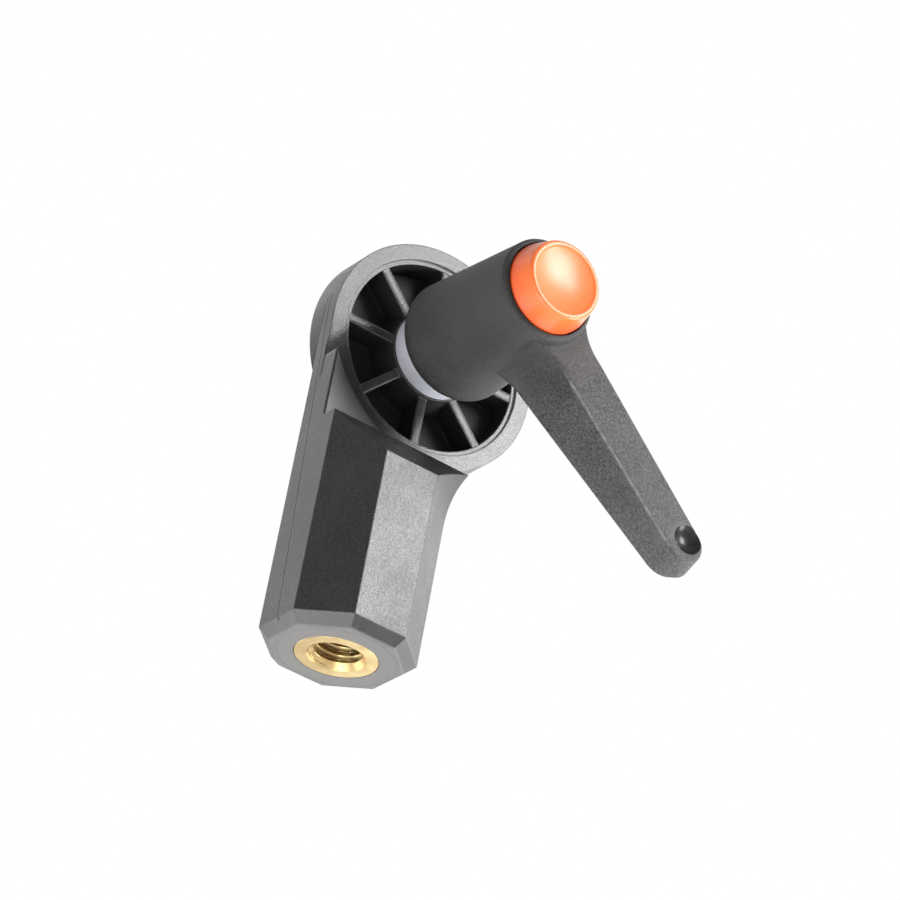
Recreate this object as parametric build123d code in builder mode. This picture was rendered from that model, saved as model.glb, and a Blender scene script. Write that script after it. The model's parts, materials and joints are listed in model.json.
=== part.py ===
"""Swivelling pipe clamp with a ratchet lever, for stage stands.

Frame: millimetres, +Z up along the octagonal stem, origin in the middle of the threaded
socket's mouth.  The lever side is -Y, the pipe side is +Y, and +X is to the right.
"""
import math
import os
from build123d import *

os.makedirs("parts", exist_ok=True)

# ---- stem -------------------------------------------------------------------------------
stem_width = 25.0                       # across the flats of the octagon
half = stem_width / 2
corner_cut = stem_width * (1 - math.tan(math.pi / 8)) / 2
foot_chamfer = 1.9
shelf_z = 40.1                          # top of the stem in front of the head
shelf_front_y = -5.2
block_y = -1.9                          # front face of the block beside the head
flare_start_z = 28.5
flare_radius = 24.0
relief_z = 33.5                         # the stem's back is cut away above this height

# ---- head -------------------------------------------------------------------------------
head_radius = 20.8
axis_x = head_radius - half             # the head's left side is tangent to the stem's flank
axis_z = 63.2                           # height of the clamping axis
ring_y = 2.0                            # face of the ring
head_back_y = 9.1
recess_radius = 17.2
recess_floor_y = 7.8
rim_step_radius = 18.0
rim_step_depth = 0.45
scoop_radius = 23.0                     # clearance cut round the head in the block's face
scoop_foot_radius = 0.4
rib_count = 8
rib_thickness = 1.6
rib_front_y = 2.6
boss_top_radius = 8.1
boss_base_radius = 9.6

# ---- threaded insert --------------------------------------------------------------------
insert_radius = 7.2
insert_length = 18.0
thread_bore_radius = 3.97               # minor radius of a 3/8 inch stand thread
insert_mouth_chamfer = 1.15

# ---- spindle and bearing washer ---------------------------------------------------------
spindle_radius = 3.97
spindle_bore_radius = 4.05
spindle_front = 9.0                     # distance in front of Y = 0
spindle_end_chamfer = 0.7
spindle_end_gap = 0.4                   # between the spindle's end and the nut
washer_radius = 7.95
washer_front = 2.7
washer_chamfer = 0.25

# ---- lever hub (u is the distance in front of Y = 0, measured along the axis) ------------
hub_back_radius = 8.6
hub_swell_u = 3.9
hub_swell_radius = 10.05
hub_max_radius = 10.8
hub_shoulder_u = 6.0
hub_front_radius = 9.2
hub_front_u = 32.1
hub_edge_chamfer = 0.8
button_recess_radius = 8.35
button_recess_floor_u = 24.0
tooth_count = 24
tooth_from_u = 5.0
tooth_to_u = 8.0
tooth_size = 0.42
tooth_clearance = 0.1
lever_bore_radius = 7.15
screw_shoulder_u = 14.2
spring_seat_u = 16.2
spring_bore_radius = 6.3
screw_hole_radius = 3.3

# ---- lever arm ---------------------------------------------------------------------------
arm_angle = -46.05                      # direction of the arm below +X
arm_end_r = 51.5                        # end of the front face
nose_ridge_r = 52.8                     # the nose's furthest point
nose_ridge_u = 30.1
nose_heel_r = 52.2                      # end of the back face
nose_heel_u = 28.5
nose_depth = 6.0                        # deeper than the nose, for the cuts that rake it
nose_cut_length = 10.0
nose_cut_width = 12.0
arm_face_u = 29.2                       # where the arm's sloping face meets the axis
arm_face_slope = 0.108
arm_root_half_width = 4.2
flare_end_r = 14.5                      # the arm widens into the hub from here
flare_middle_r = 10.3
flare_middle_half_width = 4.75
flare_root_r = 7.2
flare_root_half_width = 6.5
arm_tip_half_width = 3.6
arm_back_slope = 0.263
arm_back_u = 14.8                       # where the arm's back line meets the axis
arm_edge_fillet = 0.5
dimple_r = 47.5
dimple_across = 0.9
dimple_radius = 2.65
dimple_sphere_radius = 3.2

# ---- push button -------------------------------------------------------------------------
button_radius = 8.05
button_skirt_u = 27.8
button_taper_u = 32.4
button_top_u = 36.6
button_top_radius = 7.1
button_edge_fillet = 0.9
button_wall = 1.6
button_post_radius = 4.0                # solid middle that pushes on the screw's head
button_skirt_depth = 3.0

# ---- pipe jaws ---------------------------------------------------------------------------
jaw_angle = 48.0                        # direction from the spindle to the pipe, above +X
friction_gap = 1.0
pipe_radius = 8.0
pad_thickness = 1.1
jaw_wall = 2.6
pipe_offset = 15.4                      # distance from the spindle to the pipe's centre
pipe_y = 22.2
parting_half_gap = 0.7
jaw_half_length = 9.0
heel_s = -10.2
heel_half_width = 3.5
waist_s = -4.0
waist_half_width = 8.0
seat_s = 2.0                            # full width from here to the nose
nose_relief_s = 4.0                     # sloping corner of the inner jaw's nose
nose_relief_y = 5.0
heel_bevel_s = -5.5
heel_bevel_y = 2.6
pad_end_gap = 0.6
crown_end_angle = 0.06                  # radians
bolt_seat_y = 27.5
bolt_head_radius = 6.2
bolt_head_height = 2.7
bolt_head_fillet = 1.8
guide_pin_radius = 1.5
guide_pin_s = -7.4
guide_pin_depth = 3.0                   # wall left under the pin's hole
guide_pin_length = 14.0
flange_radius = 15.5
flange_thickness = 2.4
ring_outer_radius = 15.0
ring_bore_radius = 6.0
slide_clearance = 0.08                  # round a pin that slides in its hole

# ---- nut, screw and spring inside the lever ------------------------------------------------
nut_neck_radius = 5.9
nut_root_radius = 6.35
nut_tip_radius = 6.95
screw_radius = 2.5
screw_thread_length = 4.0
screw_shank_radius = 3.0
screw_head_radius = 5.6
screw_head_u = 22.2
screw_top_u = 24.7
screw_slot_width = 1.2
screw_slot_depth = 1.1
screw_head_chamfer = 0.4
shoulder_clearance = 0.2                # between the nut and the lever's screw shoulder
spring_turns = 3
spring_leaf = 0.5
spring_pitch = 0.8
spring_outer_radius = 5.5
spring_inner_radius = 3.4
spring_crest_length = 1.9
spring_crest_width = 1.2

reach = 60.0                            # longer than any piece, for cuts right through

axis_origin = (axis_x, 0, axis_z)
lever_axis = Axis(axis_origin, (0, -1, 0))
lever_section = Plane(origin=axis_origin, x_dir=(0, -1, 0), z_dir=(0, 0, 1))

arm_x = math.cos(math.radians(arm_angle))
arm_z = math.sin(math.radians(arm_angle))
arm_side = Plane(origin=axis_origin, x_dir=(arm_x, 0, arm_z), z_dir=(arm_z, 0, -arm_x))
arm_plan = Plane(origin=axis_origin, x_dir=(arm_x, 0, arm_z), z_dir=(0, -1, 0))

jaw_x = math.cos(math.radians(jaw_angle))
jaw_z = math.sin(math.radians(jaw_angle))
jaw_section = Plane(origin=axis_origin, x_dir=(jaw_x, 0, jaw_z), z_dir=(-jaw_z, 0, jaw_x))
groove_radius = pipe_radius + pad_thickness
jaw_nose_s = pipe_offset + groove_radius + jaw_wall
jaw_face_y = head_back_y + friction_gap


def front_plane(y):
    """Plane square to the clamping axis, facing the lever side."""
    return Plane(origin=(axis_x, y, axis_z), x_dir=(1, 0, 0), z_dir=(0, -1, 0))


def jaw_plan(y):
    """Plane square to the clamping axis, with local X pointing at the pipe."""
    return Plane(origin=(axis_x, y, axis_z), x_dir=(jaw_x, 0, jaw_z), z_dir=(0, 1, 0))


# ---- base body: octagonal stem with the ribbed round head ---------------------------------
flare_centre_x = half + flare_radius
tangent_share = head_radius / (head_radius + flare_radius)
tangent_x = axis_x + (flare_centre_x - axis_x) * tangent_share
tangent_z = axis_z + (flare_start_z - axis_z) * tangent_share

with BuildPart() as base_body:
    with BuildSketch(Plane.XZ) as stem_outline:
        with BuildLine():
            foot = Line((-half, 0), (half, 0))
            right = Line(foot @ 1, (half, flare_start_z))
            flare = TangentArc(right @ 1, (tangent_x, tangent_z), tangent=(0, 1))
            top = Polyline(flare @ 1, (axis_x, axis_z), (-half, axis_z), (-half, 0))
        make_face()
    extrude(amount=half, both=True)
    stem_corners = base_body.edges().filter_by(Axis.Z)
    stem_corners = stem_corners.filter_by(lambda e: abs(abs(e.center().X) - half) < 0.01)
    flare_corners = base_body.edges().filter_by(GeomType.CIRCLE)
    chamfer(stem_corners + flare_corners, length=corner_cut)
    chamfer(base_body.faces().sort_by(Axis.Z)[0].edges(), length=foot_chamfer)

    # sloping top of the stem, the shelf behind it and the block's front face
    with BuildSketch(Plane.YZ) as front_cut:
        with BuildLine():
            Polyline(
                (-half - 5, shelf_z - (half + 5 + shelf_front_y)),
                (shelf_front_y, shelf_z),
                (block_y, shelf_z),
                (block_y, axis_z + reach),
                (-half - 5, axis_z + reach),
                close=True,
            )
        make_face()
    extrude(amount=reach, both=True, mode=Mode.SUBTRACT)

    # clearance scoop round the head
    with BuildSketch(lever_section) as scoop_outline:
        with BuildLine():
            scoop_face = Line((-ring_y, 0), (-ring_y, scoop_radius - scoop_foot_radius))
            scoop_foot = TangentArc(
                scoop_face @ 1,
                (scoop_foot_radius - ring_y, scoop_radius),
                tangent=(0, 1),
            )
            Polyline(scoop_foot @ 1, (half + 1, scoop_radius), (half + 1, 0), scoop_face @ 0)
        make_face()
    revolve(axis=lever_axis, mode=Mode.SUBTRACT)

    # back of the stem, cut away for the swivelling jaws
    with BuildSketch(Plane.YZ) as back_cut:
        with BuildLine():
            Polyline(
                (head_back_y, axis_z + reach),
                (head_back_y, relief_z),
                (half + 1, relief_z - (half + 1 - head_back_y)),
                (half + 1, axis_z + reach),
                close=True,
            )
        make_face()
    extrude(amount=reach, both=True, mode=Mode.SUBTRACT)

    with BuildSketch(front_plane(ring_y)) as head_disc:
        Circle(head_radius)
    extrude(amount=ring_y - head_back_y)

    # recess, boss, ribs and the step round the rim
    with BuildSketch(front_plane(ring_y)) as recess:
        Circle(recess_radius)
    extrude(amount=ring_y - recess_floor_y, mode=Mode.SUBTRACT)
    with BuildSketch(front_plane(ring_y)) as rim_step:
        Circle(rim_step_radius)
        Circle(recess_radius - 0.5, mode=Mode.SUBTRACT)
    extrude(amount=-rim_step_depth, mode=Mode.SUBTRACT)
    with BuildSketch(lever_section) as boss_outline:
        with BuildLine():
            Polyline(
                (-recess_floor_y - 0.5, 0),
                (-recess_floor_y - 0.5, boss_base_radius),
                (-recess_floor_y, boss_base_radius),
                (-ring_y, boss_top_radius),
                (-ring_y, 0),
                close=True,
            )
        make_face()
    revolve(axis=lever_axis)
    with BuildSketch(front_plane(recess_floor_y)) as ribs:
        with PolarLocations(0, rib_count):
            with Locations(((boss_top_radius + recess_radius) / 2, 0)):
                Rectangle(recess_radius - boss_top_radius + 1.5, rib_thickness)
    extrude(amount=recess_floor_y - rib_front_y)

    # spindle bore and socket for the threaded insert
    with BuildSketch(front_plane(-half)) as spindle_bore:
        Circle(spindle_bore_radius)
    extrude(amount=-reach, mode=Mode.SUBTRACT)
    with BuildSketch(Plane.XY) as insert_socket:
        Circle(insert_radius)
    extrude(amount=insert_length, mode=Mode.SUBTRACT)
base_body.part.label = "base_body"

# ---- brass insert with the stand thread ---------------------------------------------------
with BuildPart() as thread_insert:
    with BuildSketch(Plane.XY) as insert_outline:
        Circle(insert_radius)
        Circle(thread_bore_radius, mode=Mode.SUBTRACT)
    extrude(amount=insert_length)
    mouth = thread_insert.faces().sort_by(Axis.Z)[0].edges().sort_by(SortBy.RADIUS)[0]
    chamfer(mouth, length=insert_mouth_chamfer)
thread_insert.part.label = "thread_insert"

# ---- nylon washer between the boss and the lever ------------------------------------------
with BuildPart() as bearing_washer:
    with BuildSketch(front_plane(ring_y)) as washer_outline:
        Circle(washer_radius)
        Circle(spindle_bore_radius, mode=Mode.SUBTRACT)
    extrude(amount=ring_y + washer_front)
    washer_rims = bearing_washer.edges().filter_by(GeomType.CIRCLE).sort_by(SortBy.RADIUS)[-2:]
    chamfer(washer_rims, length=washer_chamfer)
bearing_washer.part.label = "bearing_washer"

# ---- serrated nut inside the lever --------------------------------------------------------
with BuildPart() as lever_nut:
    with BuildSketch(front_plane(-washer_front)) as nut_base:
        Circle(nut_root_radius)
        with PolarLocations(nut_root_radius - 0.2, tooth_count):
            RegularPolygon(nut_tip_radius - nut_root_radius + 0.2, 4)
    extrude(amount=tooth_to_u - washer_front)
    with BuildSketch(front_plane(-tooth_to_u)) as nut_neck:
        Circle(nut_neck_radius)
    extrude(amount=screw_shoulder_u - shoulder_clearance - tooth_to_u)
    with BuildSketch(front_plane(-washer_front)) as nut_bore:
        Circle(spindle_bore_radius)
    extrude(amount=spindle_front + spindle_end_gap - washer_front, mode=Mode.SUBTRACT)
    with BuildSketch(front_plane(-screw_shoulder_u + shoulder_clearance)) as nut_screw_hole:
        Circle(screw_radius)
    extrude(amount=-screw_thread_length, mode=Mode.SUBTRACT)
lever_nut.part.label = "lever_nut"

# ---- screw that holds the lever on the nut ------------------------------------------------
with BuildPart() as retaining_screw:
    with BuildSketch(front_plane(-screw_shoulder_u + screw_thread_length)) as screw_thread:
        Circle(screw_radius)
    extrude(amount=screw_thread_length - shoulder_clearance)
    with BuildSketch(front_plane(-screw_shoulder_u + shoulder_clearance)) as screw_shank:
        Circle(screw_shank_radius)
    extrude(amount=screw_head_u - screw_shoulder_u + shoulder_clearance)
    with BuildSketch(front_plane(-screw_head_u)) as screw_head:
        Circle(screw_head_radius)
    extrude(amount=screw_top_u - screw_head_u)
    chamfer(retaining_screw.faces().sort_by(Axis.Y)[0].edges(), length=screw_head_chamfer)
    with BuildSketch(front_plane(-screw_top_u)) as screw_slot:
        Rectangle(3 * screw_head_radius, screw_slot_width)
    extrude(amount=-screw_slot_depth, mode=Mode.SUBTRACT)
retaining_screw.part.label = "retaining_screw"

# ---- flat wave spring under the screw head ------------------------------------------------
with BuildPart() as lever_spring:
    for turn in range(spring_turns):
        with BuildSketch(front_plane(-screw_head_u + spring_pitch * turn)) as spring_turn:
            Circle(spring_outer_radius)
            Circle(spring_inner_radius, mode=Mode.SUBTRACT)
        extrude(amount=-spring_leaf)
    for turn in range(spring_turns - 1):
        with BuildSketch(front_plane(-screw_head_u + spring_pitch * turn + spring_leaf)) as spring_crest:
            with PolarLocations((spring_outer_radius + spring_inner_radius) / 2, 3, start_angle=60 * turn):
                Rectangle(spring_crest_length, spring_crest_width)
        extrude(amount=-(spring_pitch - spring_leaf))
lever_spring.part.label = "lever_spring"

# ---- lever arm, a blank joined to the hub below -------------------------------------------
nose_centre_r = arm_end_r - arm_tip_half_width - 0.6
ridge_plane = Plane(
    origin=arm_side.from_local_coords(Vector(nose_ridge_r - arm_tip_half_width, nose_ridge_u, 0)),
    x_dir=(arm_x, 0, arm_z),
    z_dir=(0, -1, 0),
)
face_tip_u = arm_face_u + arm_face_slope * arm_end_r
front_rake = (arm_end_r - nose_ridge_r) / (face_tip_u - nose_ridge_u)
heel_rake = (nose_heel_r - nose_ridge_r) / (nose_ridge_u - nose_heel_u)

with BuildPart() as nose_cutter:
    with BuildSketch(ridge_plane) as nose_front:
        with Locations((nose_cut_length / 2, 0)):
            Rectangle(nose_cut_length, nose_cut_width)
        Circle(arm_tip_half_width, mode=Mode.SUBTRACT)
    extrude(amount=nose_depth, dir=(front_rake * arm_x, -1, front_rake * arm_z))
    with BuildSketch(ridge_plane) as nose_back:
        with Locations((nose_cut_length / 2, 0)):
            Rectangle(nose_cut_length, nose_cut_width)
        Circle(arm_tip_half_width, mode=Mode.SUBTRACT)
    extrude(amount=nose_depth, dir=(heel_rake * arm_x, 1, heel_rake * arm_z))

with BuildPart() as arm_blank:
    with BuildSketch(arm_side) as arm_profile:
        with BuildLine():
            Polyline(
                (0, arm_back_u),
                (nose_ridge_r, arm_back_u + arm_back_slope * nose_ridge_r),
                (nose_ridge_r, arm_face_u + arm_face_slope * nose_ridge_r),
                (0, arm_face_u),
                close=True,
            )
        make_face()
    extrude(amount=half, both=True)
    with BuildSketch(arm_plan) as arm_outline:
        with BuildLine():
            upper = Line((flare_end_r, arm_root_half_width), (nose_centre_r, arm_tip_half_width))
            tip = Polyline(
                upper @ 1,
                (nose_ridge_r, arm_tip_half_width),
                (nose_ridge_r, -arm_tip_half_width),
                (nose_centre_r, -arm_tip_half_width),
            )
            lower = Line(tip @ 1, (flare_end_r, -arm_root_half_width))
            low_flare = ThreePointArc(
                lower @ 1,
                (flare_middle_r, -flare_middle_half_width),
                (flare_root_r, -flare_root_half_width),
            )
            root = Polyline(
                low_flare @ 1,
                (0, -flare_root_half_width),
                (0, flare_root_half_width),
                (flare_root_r, flare_root_half_width),
            )
            ThreePointArc(root @ 1, (flare_middle_r, flare_middle_half_width), upper @ 0)
        make_face()
    extrude(amount=reach, mode=Mode.INTERSECT)
    add(nose_cutter.part, mode=Mode.SUBTRACT)
    fillet(arm_blank.faces().sort_by(Axis.Y)[0].edges(), radius=arm_edge_fillet)

with BuildPart() as lever_body:
    with BuildSketch(lever_section) as hub_outline:
        with BuildLine():
            back = Line((washer_front, 0), (washer_front, hub_back_radius))
            side_start = (hub_shoulder_u, hub_max_radius)
            swell = ThreePointArc(back @ 1, (hub_swell_u, hub_swell_radius), side_start)
            Polyline(
                swell @ 1,
                (hub_front_u - hub_edge_chamfer, hub_front_radius),
                (hub_front_u, hub_front_radius - hub_edge_chamfer),
                (hub_front_u, 0),
                back @ 0,
            )
        make_face()
    revolve(axis=lever_axis)
    add(arm_blank.part)

    # stepped bore: nut, teeth, screw shoulder, spring and button recess
    with BuildSketch(front_plane(-washer_front)) as nut_pocket:
        Circle(lever_bore_radius)
    extrude(amount=screw_shoulder_u - washer_front, mode=Mode.SUBTRACT)
    with BuildSketch(front_plane(-tooth_from_u)) as inner_teeth:
        Circle(lever_bore_radius + 0.5)
        Circle(nut_tip_radius + tooth_clearance, mode=Mode.SUBTRACT)
        with PolarLocations(lever_bore_radius + 0.05, tooth_count, start_angle=180 / tooth_count):
            RegularPolygon(tooth_size, 4)
    extrude(amount=tooth_to_u - tooth_from_u)
    with BuildSketch(front_plane(-screw_shoulder_u)) as shank_hole:
        Circle(screw_hole_radius)
    extrude(amount=spring_seat_u - screw_shoulder_u, mode=Mode.SUBTRACT)
    with BuildSketch(front_plane(-spring_seat_u)) as spring_bore:
        Circle(spring_bore_radius)
    extrude(amount=button_recess_floor_u - spring_seat_u, mode=Mode.SUBTRACT)
    with BuildSketch(front_plane(-button_recess_floor_u)) as button_recess:
        Circle(button_recess_radius)
    extrude(amount=reach, mode=Mode.SUBTRACT)

    # finger dimple near the tip
    dimple_face_u = arm_face_u + arm_face_slope * dimple_r
    dimple_rise = math.sqrt(dimple_sphere_radius**2 - dimple_radius**2)
    dimple_centre = Vector(dimple_r, dimple_face_u + dimple_rise, -dimple_across)
    with Locations(arm_side.from_local_coords(dimple_centre)):
        Sphere(dimple_sphere_radius, mode=Mode.SUBTRACT)
lever_body.part.label = "lever_body"

# ---- push button ---------------------------------------------------------------------------
button_post_u = screw_top_u + 0.1       # just clear of the screw's head
with BuildPart() as push_button:
    with BuildSketch(lever_section) as cap_outline:
        with BuildLine():
            Polyline(
                (button_skirt_u, button_radius),
                (button_taper_u, button_radius),
                (button_top_u, button_top_radius),
                (button_top_u, 0),
                (button_post_u, 0),
                (button_post_u, button_post_radius),
                (button_skirt_u + button_skirt_depth, button_post_radius),
                (button_skirt_u + button_skirt_depth, button_radius - button_wall),
                (button_skirt_u, button_radius - button_wall),
                close=True,
            )
        make_face()
    revolve(axis=lever_axis)
    fillet(push_button.faces().sort_by(Axis.Y)[0].edges(), radius=button_edge_fillet)
push_button.part.label = "push_button"

# ---- friction ring between the head and the swivelling jaw ---------------------------------
with BuildPart() as friction_ring:
    with BuildSketch(jaw_plan(head_back_y)) as friction_outline:
        Circle(ring_outer_radius)
        Circle(ring_bore_radius, mode=Mode.SUBTRACT)
    extrude(amount=friction_gap)
friction_ring.part.label = "friction_ring"


# outline of a jaw seen along the clamping axis, narrow at the heel
jaw_footprint = (
    (heel_s, -heel_half_width),
    (waist_s, -waist_half_width),
    (seat_s, -jaw_half_length),
    (jaw_nose_s, -jaw_half_length),
    (jaw_nose_s, jaw_half_length),
    (seat_s, jaw_half_length),
    (waist_s, waist_half_width),
    (heel_s, heel_half_width),
)

# ---- inner jaw: swivel flange and half of the pipe seat ------------------------------------
with BuildPart() as inner_jaw:
    with BuildSketch(jaw_section) as inner_profile:
        with BuildLine():
            Polyline(
                (heel_s, jaw_face_y),
                (pipe_offset + nose_relief_s, jaw_face_y),
                (jaw_nose_s, jaw_face_y + nose_relief_y),
                (jaw_nose_s, pipe_y - parting_half_gap),
                (heel_s, pipe_y - parting_half_gap),
                close=True,
            )
        make_face()
    extrude(amount=jaw_half_length, both=True)
    with BuildSketch(jaw_plan(0)) as inner_plan:
        with BuildLine():
            Polyline(*jaw_footprint, close=True)
        make_face()
    extrude(amount=reach, mode=Mode.INTERSECT)
    with BuildSketch(jaw_plan(jaw_face_y)) as flange:
        Circle(flange_radius)
    extrude(amount=flange_thickness)
    with BuildSketch(jaw_section) as inner_groove:
        with Locations((pipe_offset, pipe_y)):
            Circle(groove_radius)
    extrude(amount=reach, both=True, mode=Mode.SUBTRACT)
    with BuildSketch(jaw_plan(0)) as inner_bore:
        Circle(spindle_bore_radius)
    extrude(amount=reach, mode=Mode.SUBTRACT)
    with BuildSketch(jaw_plan(jaw_face_y + guide_pin_depth)) as inner_pin_hole:
        with Locations((guide_pin_s, 0)):
            Circle(guide_pin_radius)
    extrude(amount=reach, mode=Mode.SUBTRACT)
inner_jaw.part.label = "inner_jaw"

# ---- outer jaw: bolt seat and the other half of the pipe seat -------------------------------
outer_radius = groove_radius + jaw_wall
shoulder_s = bolt_head_radius + 0.6
shoulder_y = pipe_y + math.sqrt(outer_radius**2 - (pipe_offset - shoulder_s) ** 2)
with BuildPart() as outer_jaw:
    with BuildSketch(jaw_section) as outer_profile:
        with BuildLine():
            start = Polyline(
                (jaw_nose_s, pipe_y + parting_half_gap),
                (heel_s, pipe_y + parting_half_gap),
                (heel_s, bolt_seat_y - heel_bevel_y),
                (heel_bevel_s, bolt_seat_y),
                (shoulder_s, bolt_seat_y),
                (shoulder_s, shoulder_y),
            )
            crown = ThreePointArc(
                start @ 1,
                (pipe_offset, pipe_y + outer_radius),
                (
                    pipe_offset + outer_radius * math.cos(crown_end_angle),
                    pipe_y + outer_radius * math.sin(crown_end_angle),
                ),
            )
            Line(crown @ 1, start @ 0)
        make_face()
    extrude(amount=jaw_half_length, both=True)
    with BuildSketch(jaw_plan(0)) as outer_plan:
        with BuildLine():
            Polyline(*jaw_footprint, close=True)
        make_face()
    extrude(amount=reach, mode=Mode.INTERSECT)
    with BuildSketch(jaw_section) as outer_groove:
        with Locations((pipe_offset, pipe_y)):
            Circle(groove_radius)
    extrude(amount=reach, both=True, mode=Mode.SUBTRACT)
    with BuildSketch(jaw_plan(0)) as outer_bore:
        Circle(spindle_radius)
    extrude(amount=reach, mode=Mode.SUBTRACT)
    with BuildSketch(jaw_plan(0)) as outer_pin_hole:
        with Locations((guide_pin_s, 0)):
            Circle(guide_pin_radius + slide_clearance)
    extrude(amount=reach, mode=Mode.SUBTRACT)
outer_jaw.part.label = "outer_jaw"

# ---- rubber pads in the two jaws ------------------------------------------------------------
with BuildPart() as inner_pad:
    with BuildSketch(jaw_section) as inner_pad_outline:
        with Locations((pipe_offset, pipe_y)):
            Circle(groove_radius)
            Circle(pipe_radius, mode=Mode.SUBTRACT)
        with Locations((pipe_offset, pipe_y - parting_half_gap - groove_radius)):
            Rectangle(4 * groove_radius, 2 * groove_radius, mode=Mode.INTERSECT)
    extrude(amount=jaw_half_length - pad_end_gap, both=True)
inner_pad.part.label = "inner_pad"

with BuildPart() as outer_pad:
    with BuildSketch(jaw_section) as outer_pad_outline:
        with Locations((pipe_offset, pipe_y)):
            Circle(groove_radius)
            Circle(pipe_radius, mode=Mode.SUBTRACT)
        with Locations((pipe_offset, pipe_y + parting_half_gap + groove_radius)):
            Rectangle(4 * groove_radius, 2 * groove_radius, mode=Mode.INTERSECT)
    extrude(amount=jaw_half_length - pad_end_gap, both=True)
outer_pad.part.label = "outer_pad"

# ---- guide pin ------------------------------------------------------------------------------
with BuildPart() as guide_pin:
    with BuildSketch(jaw_plan(jaw_face_y + guide_pin_depth)) as pin_outline:
        with Locations((guide_pin_s, 0)):
            Circle(guide_pin_radius)
    extrude(amount=guide_pin_length)
guide_pin.part.label = "guide_pin"

# ---- spindle: cup-head bolt through both jaws and the head ----------------------------------
with BuildPart() as spindle:
    with BuildSketch(jaw_plan(-spindle_front)) as spindle_rod:
        Circle(spindle_radius)
    extrude(amount=spindle_front + bolt_seat_y)
    with BuildSketch(jaw_plan(bolt_seat_y)) as spindle_head:
        Circle(bolt_head_radius)
    extrude(amount=bolt_head_height)
    fillet(spindle.faces().sort_by(Axis.Y)[-1].edges(), radius=bolt_head_fillet)
    chamfer(spindle.faces().sort_by(Axis.Y)[0].edges(), length=spindle_end_chamfer)
spindle.part.label = "spindle"

for piece in (
    base_body,
    thread_insert,
    bearing_washer,
    lever_nut,
    retaining_screw,
    lever_spring,
    lever_body,
    push_button,
    friction_ring,
    inner_jaw,
    outer_jaw,
    inner_pad,
    outer_pad,
    guide_pin,
    spindle,
):
    print(piece.part.label, len(piece.part.solids()), round(piece.part.volume, 1), piece.part.bounding_box())
    export_step(piece.part, f"parts/{piece.part.label}.step")
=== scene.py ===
"""Looks of a swivelling pipe clamp: materials, stand thread, button cap and a plain studio.

Units are metres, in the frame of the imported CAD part: +Z up along the stem, -Y towards the
lever.  Shapes are placed from the CAD boxes.
"""
import json
import math

import bpy
import numpy as np
from mathutils import Matrix, Vector


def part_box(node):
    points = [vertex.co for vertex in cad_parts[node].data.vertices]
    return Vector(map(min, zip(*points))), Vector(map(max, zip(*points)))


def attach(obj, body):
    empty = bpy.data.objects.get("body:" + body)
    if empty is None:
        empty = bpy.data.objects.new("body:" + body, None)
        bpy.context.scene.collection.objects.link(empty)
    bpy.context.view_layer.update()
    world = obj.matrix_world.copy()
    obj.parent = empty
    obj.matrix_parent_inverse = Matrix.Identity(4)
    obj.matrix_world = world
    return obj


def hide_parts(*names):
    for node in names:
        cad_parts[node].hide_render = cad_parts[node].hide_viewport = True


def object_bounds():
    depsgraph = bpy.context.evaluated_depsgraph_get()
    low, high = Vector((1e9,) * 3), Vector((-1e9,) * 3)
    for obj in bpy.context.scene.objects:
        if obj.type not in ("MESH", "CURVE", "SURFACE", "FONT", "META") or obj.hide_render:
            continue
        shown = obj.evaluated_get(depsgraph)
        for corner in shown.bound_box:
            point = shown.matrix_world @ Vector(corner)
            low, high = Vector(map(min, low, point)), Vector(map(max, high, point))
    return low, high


MM = 0.001

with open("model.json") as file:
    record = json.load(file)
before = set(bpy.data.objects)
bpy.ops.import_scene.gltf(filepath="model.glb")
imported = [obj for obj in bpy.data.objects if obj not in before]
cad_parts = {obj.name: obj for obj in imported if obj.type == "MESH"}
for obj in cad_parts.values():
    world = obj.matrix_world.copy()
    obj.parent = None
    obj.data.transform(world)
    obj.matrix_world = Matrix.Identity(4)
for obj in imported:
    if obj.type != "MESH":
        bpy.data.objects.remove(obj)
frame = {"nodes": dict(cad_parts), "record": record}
cad_low, cad_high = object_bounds()
nodes = frame["nodes"]

stem_low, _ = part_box("base_body")
washer_low, washer_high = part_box("bearing_washer")
insert_low, insert_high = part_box("thread_insert")
button_low, button_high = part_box("push_button")

# ---- places on the part that the materials follow ----------------------------------------
flank_x = stem_low.x                              # left side of the stem and block
clamp_x = (washer_low.x + washer_high.x) / 2      # clamping axis, along Y
clamp_z = (washer_low.z + washer_high.z) / 2
foot_mark_radius = 10.2 * MM                      # turned mark round the insert
rim_radius = 20.8 * MM                            # outside of the head's rim
recess_radius = 17.2 * MM
rim_y = 2.0 * MM                                  # front of the rim
recess_floor_y = 7.8 * MM
shelf_z = 40.1 * MM                               # shelf on top of the stem
block_y = -1.9 * MM                               # front of the block beside the head
stem_slope = 45.3 * MM                            # z - y on the stem's sloping top
rim_shadow_lean = 1.216                               # edge of the painted hub shadow on the rim: z - lean * x
rim_shadow_level = 72.8 * MM
seam_lean = 0.0718                                # parting line on the flank: y - lean * z
seam_y = -0.6 * MM
upright_y = 5.2 * MM

arm_angle = math.radians(-46.05)                  # direction of the arm in the XZ plane
arm_face_u = 29.2 * MM                            # the arm's front face, before the washer
arm_face_slope = 0.108
arm_reach = 50.0 * MM
arm_root_r = 14.5 * MM
arm_root_half = 4.2 * MM                          # half width of the front face at the root
arm_tip_r = 47.3 * MM
arm_tip_half = 3.6 * MM
edge_inset = 0.22 * MM

dimple_r = 47.5 * MM                              # finger dimple, a bowl with a spherical floor
dimple_side = 0.9 * MM
bowl_radius = 3.3 * MM
bowl_lift = 1.8 * MM                              # sphere's centre in front of the arm's face
dimple_x = clamp_x + dimple_r * math.cos(arm_angle) - dimple_side * math.sin(arm_angle)
dimple_z = clamp_z + dimple_r * math.sin(arm_angle) + dimple_side * math.cos(arm_angle)
dimple_y = -arm_face_u - arm_face_slope * dimple_r - bowl_lift

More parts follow.
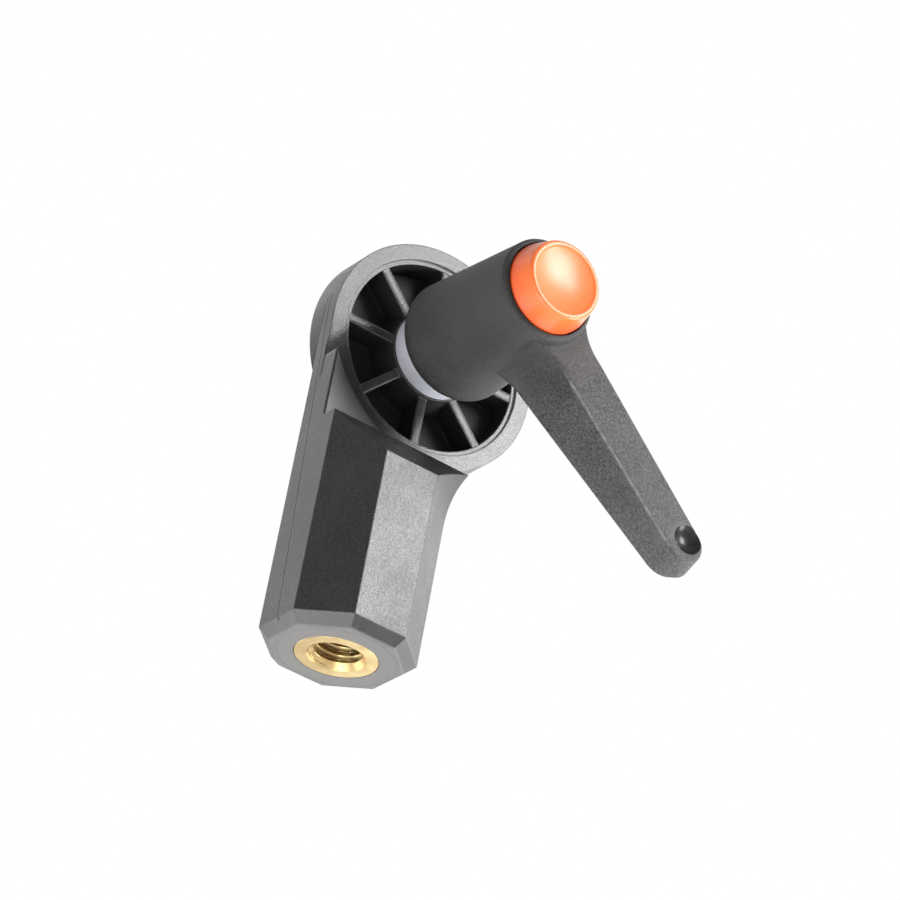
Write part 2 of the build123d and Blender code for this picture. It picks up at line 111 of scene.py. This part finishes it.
# ---- grain of the moulded plastics: noise scales, in features per metre -------------------
CLOUD = 70
RUB = 260
GRAIN = 2300
FLECK = 2600


# ---- shader helpers ---------------------------------------------------------------------
class Surface:
    """A material with one Principled shader, and short ways to add and link nodes."""

    def __init__(self, name, **settings):
        self.material = bpy.data.materials.new(name)
        self.material.use_nodes = True
        self.tree = self.material.node_tree
        self.tree.nodes.clear()
        self.shader = self.tree.nodes.new("ShaderNodeBsdfPrincipled")
        output = self.tree.nodes.new("ShaderNodeOutputMaterial")
        self.tree.links.new(self.shader.outputs["BSDF"], output.inputs["Surface"])
        self.place = self.tree.nodes.new("ShaderNodeTexCoord").outputs["Object"]
        for socket, value in settings.items():
            self.shader.inputs[socket.replace("_", " ")].default_value = value

    def put(self, socket, value):
        """Sets a socket to a number or colour, or links it to another node's output."""
        if isinstance(value, bpy.types.NodeSocket):
            self.tree.links.new(value, socket)
        else:
            socket.default_value = value

    def maths(self, operation, first, second=0.0):
        node = self.tree.nodes.new("ShaderNodeMath")
        node.operation = operation
        self.put(node.inputs[0], first)
        self.put(node.inputs[1], second)
        return node.outputs[0]

    def chain(self, operation, values):
        result = values[0]
        for value in values[1:]:
            result = self.maths(operation, result, value)
        return result

    def product(self, *values):
        return self.chain("MULTIPLY", values)

    def total(self, *values):
        return self.chain("ADD", values)

    def largest(self, *values):
        return self.chain("MAXIMUM", values)

    def less(self, first, second):
        return self.maths("SUBTRACT", first, second)

    def spread(self, value, low, high, to_low=0.0, to_high=1.0):
        """Maps low..high to to_low..to_high, with the ends held."""
        node = self.tree.nodes.new("ShaderNodeMapRange")
        node.inputs["From Min"].default_value = low
        node.inputs["From Max"].default_value = high
        node.inputs["To Min"].default_value = to_low
        node.inputs["To Max"].default_value = to_high
        self.put(node.inputs["Value"], value)
        return node.outputs["Result"]

    def above(self, value, level, fade):
        """0 up to the level, 1 from level + fade on."""
        return self.spread(value, level, level + fade)

    def below(self, value, level, fade):
        """1 up to level - fade, 0 from the level on."""
        return self.spread(value, level, level - fade)

    def line(self, value, width):
        """1 where the value is near zero, falling to 0 at width."""
        return self.spread(self.maths("ABSOLUTE", value), width * 0.4, width, 1.0, 0.0)

    def axes(self):
        node = self.tree.nodes.new("ShaderNodeSeparateXYZ")
        self.put(node.inputs[0], self.place)
        return node.outputs[0], node.outputs[1], node.outputs[2]

    def radius_from(self, first, second, first_centre=0.0, second_centre=0.0):
        """Distance of a point from a line that runs along the third axis."""
        one = self.less(first, first_centre)
        two = self.less(second, second_centre)
        return self.maths("SQRT", self.total(self.product(one, one), self.product(two, two)))

    def noise(self, scale, detail=3.0, stretch=(1, 1, 1), roughness=0.55):
        place = self.place
        if stretch != (1, 1, 1):
            mapping = self.tree.nodes.new("ShaderNodeMapping")
            mapping.inputs["Scale"].default_value = stretch
            self.put(mapping.inputs["Vector"], place)
            place = mapping.outputs["Vector"]
        node = self.tree.nodes.new("ShaderNodeTexNoise")
        node.inputs["Scale"].default_value = scale
        node.inputs["Detail"].default_value = detail
        node.inputs["Roughness"].default_value = roughness
        self.put(node.inputs["Vector"], place)
        return node.outputs["Fac"]

    def blend(self, factor, first, second):
        """Mixes two colours."""
        node = self.tree.nodes.new("ShaderNodeMix")
        node.data_type = "RGBA"
        self.put(node.inputs[0], factor)
        self.put(node.inputs[6], first)
        self.put(node.inputs[7], second)
        return node.outputs[2]

    def blend_normals(self, factor, first, second):
        node = self.tree.nodes.new("ShaderNodeMix")
        node.data_type = "VECTOR"
        self.put(node.inputs[0], factor)
        self.put(node.inputs[4], first)
        self.put(node.inputs[5], second)
        return node.outputs[1]

    def rounded(self, radius):
        """Normal that rounds sharp edges."""
        bevel = self.tree.nodes.new("ShaderNodeBevel")
        bevel.samples = 6
        bevel.inputs["Radius"].default_value = radius
        return bevel.outputs[0]

    def edge_mask(self, rounded):
        """1 where the rounded normal leans away from the face's own."""
        geometry = self.tree.nodes.new("ShaderNodeNewGeometry")
        dot = self.tree.nodes.new("ShaderNodeVectorMath")
        dot.operation = "DOT_PRODUCT"
        self.put(dot.inputs[0], rounded)
        self.put(dot.inputs[1], geometry.outputs["Normal"])
        return self.spread(dot.outputs["Value"], 0.998, 0.93)

    def bump(self, height, distance, strength=1.0, normal=None):
        node = self.tree.nodes.new("ShaderNodeBump")
        node.inputs["Distance"].default_value = distance
        node.inputs["Strength"].default_value = strength
        self.put(node.inputs["Height"], height)
        if normal is not None:
            self.put(node.inputs["Normal"], normal)
        return node.outputs["Normal"]

    def finish(self, colour, roughness, normal):
        self.put(self.shader.inputs["Base Color"], colour)
        self.put(self.shader.inputs["Roughness"], roughness)
        self.put(self.shader.inputs["Normal"], normal)
        return self.material


def grey(level, warmth=0.0):
    return (level * (1 + warmth), level, level * (1 - warmth), 1)


# ---- moulded plastics -------------------------------------------------------------------
def moulded(name, dark, light, rough, edge, edge_radius, warmth=0.0, fleck_amount=0.35):
    """Fine-grained plastic: mottled colour, glass flecks, edges paler from rubbing and from a
    painted highlight.

    Gives the surface and its colour, roughness, height and normal, for further layers.
    """
    s = Surface(name, IOR=1.5)
    cloud = s.noise(CLOUD, 4)
    fine = s.noise(GRAIN, 3, roughness=0.7)
    rub = s.noise(RUB, 5, roughness=0.65)
    mottle = s.total(s.product(cloud, 0.3), s.product(fine, 0.7))
    colour = s.blend(s.spread(mottle, 0.40, 0.60), grey(dark, warmth), grey(light, warmth))
    fleck = s.spread(s.noise(FLECK, 2), 0.62, 0.74)
    colour = s.blend(s.product(fleck, fleck_amount), colour, grey(light * 3.0, warmth))
    rounded = s.rounded(edge_radius)
    # paler edges: rubbing wear, and a painted highlight along them
    edge_wear_and_highlight = s.product(s.edge_mask(rounded), s.spread(rub, 0.3, 0.6, 0.35, 1.0))
    colour = s.blend(edge_wear_and_highlight, colour, grey(edge, warmth))
    tone = s.spread(s.total(cloud, s.product(rub, 0.25)), 0.4, 0.85)
    tone = s.total(tone, s.spread(fine, 0.35, 0.65, -0.5, 0.5))
    roughness = s.total(rough, s.product(tone, 0.12))
    height = s.total(fine, s.product(rub, 0.06))
    return s, colour, roughness, height, rounded


def plain_moulded(name, grain_depth, grain_strength, **settings):
    """Moulded plastic with no further layers."""
    s, colour, roughness, height, normal = moulded(name, **settings)
    return s.finish(colour, roughness, s.bump(height, grain_depth, grain_strength, normal))


def body_material():
    """Black nylon of the stem and head, with painted light on the foot, the rim and the block's
    front, and painted shade on the rim's corner, the slope, the recess and the block's edge.
    """
    s, colour, roughness, height, normal = moulded(
        "body_nylon", dark=0.021, light=0.034, rough=0.27, edge=0.16, edge_radius=0.3 * MM
    )
    x, y, z = s.axes()
    from_clamp = s.radius_from(x, z, clamp_x, clamp_z)
    rim_front = s.below(y, rim_y + 0.6 * MM, 0.2 * MM)

    # painted light from below: a paler foot, with a turned mark round the insert
    at_foot = s.below(z, 0.3 * MM, 0.2 * MM)
    foot_mark = s.line(s.less(s.radius_from(x, y), foot_mark_radius), 0.25 * MM)
    foot_mark = s.product(foot_mark, at_foot)
    colour = s.blend(at_foot, colour, grey(0.125, 0.02))

    # painted light: the rim of the head is paler than the stem
    on_rim = s.product(
        s.below(from_clamp, rim_radius, 0.1 * MM),
        s.above(from_clamp, recess_radius - 0.2 * MM, 0.2 * MM),
        rim_front,
    )
    # less of it at the bottom, as painted shade beside the stem
    rim_painted_light_part = s.largest(s.above(x, 10 * MM, 6 * MM), s.above(z, 56 * MM, 4 * MM))
    colour = s.blend(s.product(on_rim, rim_painted_light_part, 0.7), colour, grey(0.13, 0.01))

    # painted shadow of the hub on the rim's corner beside the block
    rim_painted_shadow = s.product(
        s.below(s.less(z, s.product(x, rim_shadow_lean)), rim_shadow_level, 2.2 * MM),
        s.below(x, -2 * MM, 3 * MM),
        rim_front,
        s.above(y, rim_y - 0.6 * MM, 0.3 * MM),
        s.above(z, 48 * MM, 2 * MM),
    )
    colour = s.blend(rim_painted_shadow, colour, grey(0.035))

    # painted light on the block's front, paler away from the hub's shadow
    block_front = s.product(
        s.below(y, block_y + 3.1 * MM, 0.4 * MM),
        s.above(z, shelf_z + 0.2 * MM, 0.3 * MM),
        s.below(x, 2 * MM, 3 * MM),
        s.above(x, flank_x + 0.1 * MM, 0.2 * MM),
    )
    block_painted_light = s.product(block_front, s.above(from_clamp, 22.8 * MM, 6.2 * MM))
    colour = s.blend(block_painted_light, colour, grey(0.26, 0.01))

    # painted shade: the slope and shelf on top of the stem, in front of the head, are darker
    stem_top = s.product(
        s.largest(
            s.above(s.less(z, y), stem_slope - 0.2 * MM, 0.15 * MM),
            s.above(z, shelf_z - 0.2 * MM, 0.1 * MM),
        ),
        s.below(y, block_y - 0.05 * MM, 0.05 * MM),
    )
    colour = s.blend(stem_top, colour, grey(0.020))

    # painted shade: the deep recess in the head is darker; it is also rougher
    inside = s.product(
        s.below(from_clamp, recess_radius + 0.15 * MM, 0.15 * MM),
        s.above(y, rim_y + 0.7 * MM, 0.9 * MM),
        s.below(y, recess_floor_y + 0.6 * MM, 0.4 * MM),
    )
    colour = s.blend(inside, colour, grey(0.009, 0.03))
    roughness = s.total(roughness, s.product(inside, 0.35), s.product(at_foot, 0.25))

    # parting lines down the left flank, and painted shade as a dark line along the block's edge
    on_flank = s.below(x, flank_x + 0.4 * MM, 0.3 * MM)
    seam = s.line(s.less(s.less(y, s.product(z, seam_lean)), seam_y), 0.2 * MM)
    upright = s.line(s.less(y, upright_y), 0.2 * MM)
    parting = s.product(s.largest(seam, upright), on_flank)
    block_edge_painted_shade = s.product(
        s.line(s.less(y, block_y + 0.2 * MM), 0.42 * MM),
        s.above(z, shelf_z + 0.2 * MM, 0.5 * MM),
        on_flank,
    )
    colour = s.blend(s.largest(s.product(parting, 0.6), block_edge_painted_shade), colour, grey(0.012))

    # places of painted shade also shine less than the rest
    dull = s.largest(block_edge_painted_shade, rim_painted_shadow, s.product(stem_top, 0.6))
    s.put(s.shader.inputs["Specular IOR Level"], s.spread(dull, 0, 1, 0.5, 0.1))

    # the ribs' crests are rounder than the other edges
    on_ribs = s.product(
        s.below(from_clamp, recess_radius - 0.3 * MM, 0.2 * MM),
        s.above(y, rim_y + 0.3 * MM, 0.2 * MM),
    )
    normal = s.blend_normals(on_ribs, normal, s.rounded(0.8 * MM))
    height = s.less(height, s.total(s.product(foot_mark, 6.0), s.product(parting, 4.0)))
    return s.finish(colour, roughness, s.bump(height, 0.09 * MM, 0.5, normal))


def lever_material():
    """Glass-filled plastic of the lever: dark hub, grainy arm with worn edges and a painted
    highlight along its front edge, smooth dimple with painted shade in its bowl.
    """
    s, colour, roughness, height, normal = moulded(
        "lever_plastic", dark=0.026, light=0.106, rough=0.50, edge=0.20, edge_radius=0.4 * MM,
        warmth=0.02, fleck_amount=0.15,
    )
    s.shader.inputs["Specular IOR Level"].default_value = 0.32
    x, y, z = s.axes()
    from_clamp = s.radius_from(x, z, clamp_x, clamp_z)
    mottle = s.spread(s.total(s.noise(CLOUD, 4), s.noise(GRAIN, 3)), 0.75, 1.25)

    # the hub's front edge and the corner where the arm leaves it are softly rounded
    near_hub = s.below(from_clamp, 17.5 * MM, 3.5 * MM)
    soft_normal = s.rounded(1.4 * MM)
    normal = s.blend_normals(near_hub, normal, soft_normal)
    root_colour = s.blend(mottle, grey(0.034, 0.02), grey(0.096, 0.02))
    colour = s.blend(near_hub, colour, root_colour)
    on_hub = s.below(from_clamp, 13.0 * MM, 3.2 * MM)
    hub_colour = s.blend(mottle, grey(0.032, 0.02), grey(0.052, 0.02))
    colour = s.blend(on_hub, colour, hub_colour)

    # painted highlight along the arm's front edge, broken up by noise
    cosine, sine = math.cos(arm_angle), math.sin(arm_angle)
    rel_x = s.less(x, clamp_x)
    rel_z = s.less(z, clamp_z)
    along = s.total(s.product(rel_x, cosine), s.product(rel_z, sine))
    across = s.less(s.product(rel_x, sine), s.product(rel_z, cosine))
    edge_place = s.spread(
        along, arm_root_r, arm_tip_r, arm_root_half - edge_inset, arm_tip_half - edge_inset
    )
    face_place = s.spread(
        along, 0.0, arm_reach, -arm_face_u, -arm_face_u - arm_face_slope * arm_reach
    )
    arm_edge_painted_highlight = s.product(
        s.line(s.less(across, edge_place), edge_inset),
        s.below(s.less(y, face_place), 0.7 * MM, 0.3 * MM),
        s.above(along, 12.5 * MM, 3.5 * MM),
        s.below(along, 47.5 * MM, 1.5 * MM),
        s.spread(s.noise(900, 3), 0.35, 0.6, 0.35, 1.0),
    )
    colour = s.blend(s.product(arm_edge_painted_highlight, 0.6), colour, grey(0.32))

    # smooth finger dimple with a rounded rim on its left side
    from_dimple = s.radius_from(x, z, dimple_x, dimple_z)
    from_centre = s.radius_from(from_dimple, y, 0.0, dimple_y)
    in_bowl = s.below(from_centre, bowl_radius, 0.08 * MM)
    near_rim = s.product(
        s.below(from_centre, bowl_radius + 0.7 * MM, 0.6 * MM),
        s.below(s.less(x, dimple_x), 1.2 * MM, 1.0 * MM),
    )
    outside_bowl = s.product(near_rim, s.less(1.0, in_bowl))
    normal = s.blend_normals(outside_bowl, normal, soft_normal)
    # painted shade: the bowl is darker than the arm
    colour = s.blend(in_bowl, colour, grey(0.022))
    roughness = s.less(roughness, s.product(in_bowl, 0.32))
    height = s.product(height, s.spread(s.largest(in_bowl, near_rim), 0, 1, 1, 0.1))
    return s.finish(colour, roughness, s.bump(height, 0.2 * MM, 0.7, normal))


def washer_material():
    s = Surface("washer_nylon", IOR=1.5, Subsurface_Weight=0.1, Subsurface_Scale=0.6 * MM)
    cloud = s.noise(160, 3)
    colour = s.blend(s.spread(cloud, 0.3, 0.7), (0.72, 0.72, 0.80, 1), (0.78, 0.78, 0.86, 1))
    rounded = s.rounded(0.15 * MM)
    # paler edges: wear, and a painted highlight along them
    colour = s.blend(s.product(s.edge_mask(rounded), 0.4), colour, (0.84, 0.84, 0.91, 1))
    normal = s.bump(s.noise(900, 3), 0.03 * MM, 0.4, rounded)
    return s.finish(colour, s.spread(cloud, 0.3, 0.7, 0.38, 0.5), normal)


def rubber_material():
    s = Surface("pad_rubber", IOR=1.5, Specular_IOR_Level=0.3)
    cloud = s.noise(120, 4)
    colour = s.blend(s.spread(cloud, 0.3, 0.7), grey(0.012), grey(0.022))
    rounded = s.rounded(0.2 * MM)
    # paler edges: wear, and a painted highlight along them
    colour = s.blend(s.product(s.edge_mask(rounded), 0.4), colour, grey(0.05))
    normal = s.bump(s.noise(1500, 4), 0.05 * MM, 0.6, rounded)
    return s.finish(colour, s.spread(cloud, 0.3, 0.7, 0.72, 0.88), normal)


def button_material():
    """Glossy orange plastic, redder at the root, amber under the rim, with a painted highlight
    on its rim and edges.
    """
    s = Surface("button_plastic", IOR=1.5, Coat_Weight=0.2, Coat_Roughness=0.22, Coat_IOR=1.5)
    _, y, _ = s.axes()
    up = s.below(y, button_low.y + 6.6 * MM, 5.4 * MM)
    colour = s.blend(up, (0.80, 0.065, 0.018, 1), (0.90, 0.17, 0.03, 1))
    cloud = s.noise(240, 3)
    colour = s.blend(s.spread(cloud, 0.35, 0.75, 0.0, 0.25), colour, (0.92, 0.20, 0.08, 1))
    rounded = s.rounded(0.22 * MM)
    # painted highlight: the cap's rim and edges turn pale cream
    colour = s.blend(s.product(s.edge_mask(rounded), 0.8), colour, (1.0, 0.72, 0.48, 1))
    scuffs = s.noise(1400, 3)
    normal = s.bump(s.total(cloud, s.product(scuffs, 0.2)), 0.03 * MM, 0.35, rounded)
    return s.finish(colour, s.spread(scuffs, 0.3, 0.7, 0.30, 0.42), normal)


# ---- metals -----------------------------------------------------------------------------
def metal(name, base, dull, rough, turned_scale, shaded=0.0):
    """Machined metal: turning lines round the part, patches of tarnish and small scratches.

    The shaded amount darkens the side towards -X.
    """
    s = Surface(name, Metallic=1.0)
    patches = s.noise(300, 4)
    scratches = s.noise(500, 2, stretch=(1, 1, 7))
    colour = s.blend(s.spread(patches, 0.35, 0.75), base, dull)
    x, y, _ = s.axes()
    side = s.spread(s.less(x, s.product(y, 0.6)), -6 * MM, 6 * MM, shaded, 0.0)
    colour = s.blend(side, colour, tuple(channel * 0.6 for channel in dull[:3]) + (1,))
    turned = s.maths("SINE", s.product(s.radius_from(x, y), turned_scale))
    marks = s.total(patches, scratches)
    height = s.total(s.product(turned, 0.25), marks)
    roughness = s.spread(marks, 0.6, 1.4, rough, rough + 0.14)
    return s.finish(colour, roughness, s.bump(height, 0.02 * MM, 0.5, s.rounded(0.12 * MM)))


materials = {
    "body_nylon": body_material(),
    "jaw_nylon": plain_moulded(
        "jaw_nylon", 0.04 * MM, 0.55,
        dark=0.022, light=0.036, rough=0.36, edge=0.10, edge_radius=0.3 * MM,
    ),
    "lever_plastic": lever_material(),
    "ring_nylon": plain_moulded(
        "ring_nylon", 0.02 * MM, 0.4,
        dark=0.03, light=0.045, rough=0.35, edge=0.1, edge_radius=0.2 * MM,
    ),
    "washer_nylon": washer_material(),
    "insert_brass": metal(
        "insert_brass", (0.60, 0.485, 0.23, 1), (0.44, 0.285, 0.125, 1), 0.24, 60000,
        shaded=0.55,
    ),
    "zinc_steel": metal("zinc_steel", (0.52, 0.52, 0.54, 1), (0.38, 0.38, 0.39, 1), 0.32, 30000),
    "spring_steel": metal(
        "spring_steel", (0.50, 0.50, 0.52, 1), (0.36, 0.35, 0.34, 1), 0.3, 30000
    ),
    "button_plastic": button_material(),
    "pad_rubber": rubber_material(),
}

for part in frame["record"]["subparts"]:
    mesh = nodes[part["node"]].data
    mesh.materials.clear()
    mesh.materials.append(materials[part["material_slot"]])


# ---- shapes -----------------------------------------------------------------------------
def new_piece(name, points, faces, material, body, replaced):
    """A mesh piece that rides on a body and stands for a CAD node."""
    mesh = bpy.data.meshes.new(name)
    mesh.from_pydata([tuple(p) for p in points], [], faces)
    mesh.update()
    mesh.materials.append(materials[material])
    piece = bpy.data.objects.new(name, mesh)
    bpy.context.scene.collection.objects.link(piece)
    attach(piece, body)
    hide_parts(replaced)
    return piece


def grid_faces(rows, columns):
    """Quads of a tube of rings, each ring closed on itself."""
    faces = []
    for i in range(rows - 1):
        for j in range(columns):
            k = (j + 1) % columns
            here, there = i * columns, (i + 1) * columns
            faces.append((here + j, here + k, there + k, there + j))
    return faces


def smooth_by_angle(piece, degrees):
    piece.data.shade_smooth()
    piece.data.set_sharp_from_angle(angle=math.radians(degrees))


# brass insert with a helical stand thread, 16 turns to the inch
insert_radius = (insert_high.x - insert_low.x) / 2
insert_length = insert_high.z - insert_low.z
insert_chamfer = 0.15 * MM
minor_radius = 3.97 * MM
major_radius = 4.72 * MM
mouth_radius = minor_radius + 1.15 * MM
thread_pitch = 25.4 * MM / 16
thread_columns = 128
steps_per_turn = 16


def thread_radius(phase):
    """Internal thread section: flat crest, sloping flanks, narrow root."""
    crest_share, flank_share = 0.22, 0.62
    wave = abs((phase % 1.0) - 0.5) * 2
    depth = min(max((wave - crest_share) / flank_share, 0.0), 1.0)
    return minor_radius + (major_radius - minor_radius) * depth


def insert_points():
    """Rings up the threaded, countersunk bore and back down the outside."""
    turns = [j / thread_columns for j in range(thread_columns)]
    rings = []
    for height in np.arange(0, insert_length - 1e-9, thread_pitch / steps_per_turn):
        countersink = mouth_radius - height
        ring = []
        for turn in turns:
            r = max(countersink, thread_radius(height / thread_pitch - turn))
            r = min(r, mouth_radius) if height > 0 else mouth_radius
            ring.append((r, turn, height))
        rings.append(ring)
    rings.append([(r, turn, insert_length) for r, turn, _ in rings[-1]])
    outside = [
        (insert_radius, insert_length),
        (insert_radius, insert_chamfer),
        (insert_radius - insert_chamfer, 0.0),
        (mouth_radius, 0.0),
    ]
    for radius, height in outside:
        rings.append([(radius, turn, height) for turn in turns])
    points = []
    for ring in rings:
        for r, turn, height in ring:
            angle = 2 * math.pi * turn
            points.append((r * math.cos(angle), r * math.sin(angle), insert_low.z + height))
    return points, len(rings)


points, rows = insert_points()
insert_piece = new_piece(
    "stand_thread", points, grid_faces(rows, thread_columns), "insert_brass", "base",
    "thread_insert",
)
smooth_by_angle(insert_piece, 35)

# push button, with a rounded rim round a slightly sunken face
button_axis = Vector(((button_low.x + button_high.x) / 2, 0, (button_low.z + button_high.z) / 2))
button_radius = (button_high.x - button_low.x) / 2
button_depth = button_high.y - button_low.y
cap_radius = 7.1 * MM
rim_round = 0.55 * MM
face_sink = 0.22 * MM
cone_depth = 4.2 * MM
skirt_depth = 8.8 * MM
skirt_wall = 1.6 * MM
hollow_depth = 5.8 * MM
post_radius = 4.0 * MM


def lathe(name, outline, material, body, replaced, segments=96):
    """Turns an outline of (depth from the front, radius) about the clamping axis."""
    points = []
    for depth, radius in outline:
        for j in range(segments):
            angle = 2 * math.pi * j / segments
            points.append(
                (
                    button_axis.x + radius * math.cos(angle),
                    button_low.y + depth,
                    button_axis.z + radius * math.sin(angle),
                )
            )
    return new_piece(name, points, grid_faces(len(outline), segments), material, body, replaced)


outline = [
    (face_sink, 0.0),
    (face_sink, cap_radius - 1.25 * MM),
    (0.12 * MM, cap_radius - 1.10 * MM),
    (0.0, cap_radius - 0.95 * MM),
]
for step in range(9):
    angle = math.pi / 2 * step / 8
    depth = rim_round * (1 - math.cos(angle))
    outline.append((depth, cap_radius - rim_round + rim_round * math.sin(angle)))
outline += [
    (cone_depth, button_radius),
    (skirt_depth, button_radius),
    (skirt_depth, button_radius - skirt_wall),
    (hollow_depth, button_radius - skirt_wall),
    (hollow_depth, post_radius),
    (button_depth, post_radius),
    (button_depth, 0.0),
]
button_piece = lathe("button_cap", outline, "button_plastic", "button", "push_button")
smooth_by_angle(button_piece, 40)


# ---- studio -----------------------------------------------------------------------------
middle = (cad_low + cad_high) / 2


def softbox(name, direction, distance, width, radiance):
    """Square area light that faces the object, with its brightness given as radiance."""
    light = bpy.data.lights.new(name, "AREA")
    light.shape = "SQUARE"
    light.size = width
    light.energy = radiance * math.pi * width * width
    lamp = bpy.data.objects.new(name, light)
    bpy.context.scene.collection.objects.link(lamp)
    lamp.location = middle + Vector(direction).normalized() * distance
    lamp.rotation_euler = (lamp.location - middle).to_track_quat("Z", "Y").to_euler()
    lamp.visible_camera = False


# name, direction from the object, distance, width, radiance
softboxes = [
    ("key", (0.50, -0.75, 0.39), 0.70, 0.34, 15.8),
    ("low_fill", (0.44, 0.75, -0.49), 0.60, 0.40, 1.1),
    ("left_rim", (-0.36, 0.75, 0.44), 0.80, 0.50, 0.75),
    ("right_low", (0.94, 0.20, -0.22), 0.60, 0.40, 2.2),
    ("right_glint", (0.90, -0.33, -0.37), 0.60, 0.25, 14.0),
    ("right_rim", (0.75, 0.44, 0.49), 0.80, 0.60, 0.65),
    ("left_low", (-0.40, 0.75, -0.53), 0.60, 0.35, 3.4),
    ("left_fill", (-0.60, -0.22, -0.77), 0.45, 0.29, 5.0),
]
for softbox_settings in softboxes:
    softbox(*softbox_settings)


def make_world():
    """White room that is dimmer towards the front left."""
    dim_side = Vector((-0.75, -0.45, 0.49)).normalized()
    full_light, dim_light = 1.05, 0.30
    world = bpy.data.worlds.new("studio")
    bpy.context.scene.world = world
    world.use_nodes = True
    tree = world.node_tree
    tree.nodes.clear()
    place = tree.nodes.new("ShaderNodeTexCoord")
    toward = tree.nodes.new("ShaderNodeVectorMath")
    toward.operation = "DOT_PRODUCT"
    toward.inputs[1].default_value = dim_side
    tree.links.new(place.outputs["Generated"], toward.inputs[0])
    dimmer = tree.nodes.new("ShaderNodeMapRange")
    dimmer.inputs["From Min"].default_value = -0.2
    dimmer.inputs["From Max"].default_value = 0.8
    dimmer.inputs["To Min"].default_value = full_light
    dimmer.inputs["To Max"].default_value = dim_light
    tree.links.new(toward.outputs["Value"], dimmer.inputs["Value"])
    # the background itself stays plain white
    path = tree.nodes.new("ShaderNodeLightPath")
    strength = tree.nodes.new("ShaderNodeMix")
    strength.data_type = "FLOAT"
    tree.links.new(path.outputs["Is Camera Ray"], strength.inputs[0])
    tree.links.new(dimmer.outputs["Result"], strength.inputs[2])
    strength.inputs[3].default_value = 1.0
    background = tree.nodes.new("ShaderNodeBackground")
    background.inputs["Color"].default_value = (1, 1, 1, 1)
    tree.links.new(strength.outputs[0], background.inputs["Strength"])
    output = tree.nodes.new("ShaderNodeOutputWorld")
    tree.links.new(background.outputs[0], output.inputs["Surface"])


make_world()


def make_floor():
    """Wide pale floor, far enough below to stay under the camera."""
    s = Surface("floor_paper", IOR=1.45, Specular_IOR_Level=0.2)
    cloud = s.noise(3, 3)
    colour = s.blend(s.spread(cloud, 0.3, 0.7), (0.84, 0.84, 0.84, 1), (0.88, 0.88, 0.88, 1))
    normal = s.bump(s.noise(900, 2), 0.1 * MM, 0.2)
    material = s.finish(colour, s.spread(cloud, 0.3, 0.7, 0.75, 0.85), normal)
    mesh = bpy.data.meshes.new("floor")
    reach = 6.0
    height = -0.42
    corners = [(-reach, -reach), (reach, -reach), (reach, reach), (-reach, reach)]
    mesh.from_pydata([(x, y, height) for x, y in corners], [], [(0, 1, 2, 3)])
    mesh.materials.append(material)
    floor = bpy.data.objects.new("floor", mesh)
    bpy.context.scene.collection.objects.link(floor)


make_floor()

# ---- camera: below the object, in front and to the left ------------------------------------
camera_place = Vector((-0.3183, -0.5633, -0.3182))
camera_right = Vector((0.8000, -0.5774, 0.1629))
camera_up = Vector((-0.4037, -0.3172, 0.8581))
camera_back = Vector((-0.4438, -0.7523, -0.4869))
camera = bpy.data.cameras.new("camera")
camera.sensor_width = 36.0
camera.lens = 174.98
camera.clip_start = 0.01
camera.clip_end = 50.0
camera_object = bpy.data.objects.new("camera", camera)
bpy.context.scene.collection.objects.link(camera_object)
camera_turn = Matrix((camera_right, camera_up, camera_back)).transposed().to_4x4()
camera_object.matrix_world = Matrix.Translation(camera_place) @ camera_turn
bpy.context.scene.camera = camera_object
bpy.context.scene.view_settings.view_transform = "Standard"
